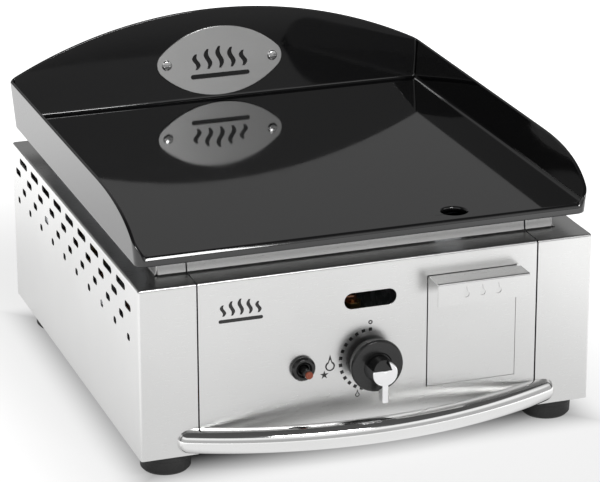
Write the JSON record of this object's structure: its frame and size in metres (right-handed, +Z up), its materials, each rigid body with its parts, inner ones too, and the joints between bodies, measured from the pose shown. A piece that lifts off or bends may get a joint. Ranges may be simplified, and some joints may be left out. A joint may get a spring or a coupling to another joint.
{
  "type": "flat top griddle",
  "caption": "Countertop gas griddle: black enamel plate with arched splash guard on a vented stainless casing, with knob, igniter, grease drawer, front rail and rubber feet.",
  "frame": {"origin": "on the floor, under the centre of the whole machine's box", "axes": "+Z up, -Y out of the front with the knob, +X to the right as seen from the front"},
  "size_m": [0.4042, 0.475, 0.2784],
  "materials": {
    "stainless_sheet": "satin, fine grain",
    "tray_sheet": "satin",
    "galvanised_sheet": "matt zinc",
    "black_enamel": "glossy vitreous enamel",
    "zinc_steel": "zinc plated",
    "brushed_badge": "brushed",
    "bright_screws": "bright",
    "polished_rail": "polished satin",
    "rubber": "matt",
    "burner_steel": "heat-dulled",
    "brass": "satin",
    "valve_alloy": "die-cast",
    "black_plastic": "gloss",
    "chrome_grip": "mirror chrome",
    "copper_pipe": "drawn copper",
    "white_ceramic": "glazed ceramic",
    "black_lead": "silicone",
    "red_plastic": "gloss"
  },
  "bodies": {
    "casing": {"base_pan": "galvanised_sheet", "left_side_panel": "stainless_sheet", "right_side_panel": "stainless_sheet", "front_panel": "stainless_sheet", "rear_panel": "stainless_sheet", "griddle_plate": "black_enamel", "splash_guard": "black_enamel", "drain_spout": "galvanised_sheet", "plate_bearers": "galvanised_sheet", "plate_studs": "zinc_steel", "plate_nuts": "zinc_steel", "badge_plate": "brushed_badge", "badge_screws": "bright_screws", "badge_nuts": "zinc_steel", "front_rail": "polished_rail", "rail_inserts": "zinc_steel", "rail_bolts": "zinc_steel", "foot_front_left": "rubber", "foot_front_right": "rubber", "foot_rear_left": "rubber", "foot_rear_right": "rubber", "foot_screws": "zinc_steel", "foot_nuts": "zinc_steel", "casing_screws": "bright_screws", "burner_tube": "burner_steel", "burner_cap": "burner_steel", "burner_venturi": "burner_steel", "air_shutter": "galvanised_sheet", "burner_injector": "brass", "injector_holder": "brass", "burner_strap_front": "galvanised_sheet", "burner_strap_rear": "galvanised_sheet", "burner_clips": "galvanised_sheet", "clip_screws": "zinc_steel", "gas_valve_body": "valve_alloy", "valve_bonnet": "valve_alloy", "valve_bracket": "galvanised_sheet", "valve_screws": "zinc_steel", "gas_supply_pipe": "copper_pipe", "gas_inlet": "brass", "inlet_lock_nut": "brass", "burner_feed_pipe": "copper_pipe", "pipe_nuts": "brass", "thermocouple_probe": "bright_screws", "thermocouple_lead": "copper_pipe", "electrode_bracket": "galvanised_sheet", "spark_electrode": "white_ceramic", "ignition_lead": "black_lead", "piezo_body": "black_plastic", "igniter_collar": "black_plastic", "drawer_guides": "galvanised_sheet", "heat_shield": "galvanised_sheet"},
    "valve_plug": {"valve_plug": "brass"},
    "knob": {"valve_spindle": "zinc_steel", "knob_skirt": "black_plastic", "knob_grip": "chrome_grip"},
    "igniter": {"igniter_stem": "black_plastic", "igniter_button": "red_plastic"},
    "drawer": {"drawer_front": "stainless_sheet", "grease_tray": "tray_sheet"}
  },
  "joints": [
    {"name": "knob_turn", "type": "hinge", "parent": "casing", "child": "valve_plug", "pos_m": [0, -0.1525, 0.082], "axis": [0, -1, 0], "range_deg": [0, 170]},
    {"name": "knob_push", "type": "slide", "parent": "valve_plug", "child": "knob", "axis": [0, 1, 0], "range_m": [0, 0.004], "stiffness_N_per_m": 1500, "springref_m": -0.004},
    {"name": "igniter_push", "type": "slide", "parent": "casing", "child": "igniter", "axis": [0, 1, 0], "range_m": [0, 0.007], "stiffness_N_per_m": 1500, "springref_m": -0.004},
    {"name": "drawer_slide", "type": "slide", "parent": "casing", "child": "drawer", "axis": [0, -1, 0], "range_m": [0, 0.19]}
  ]
}
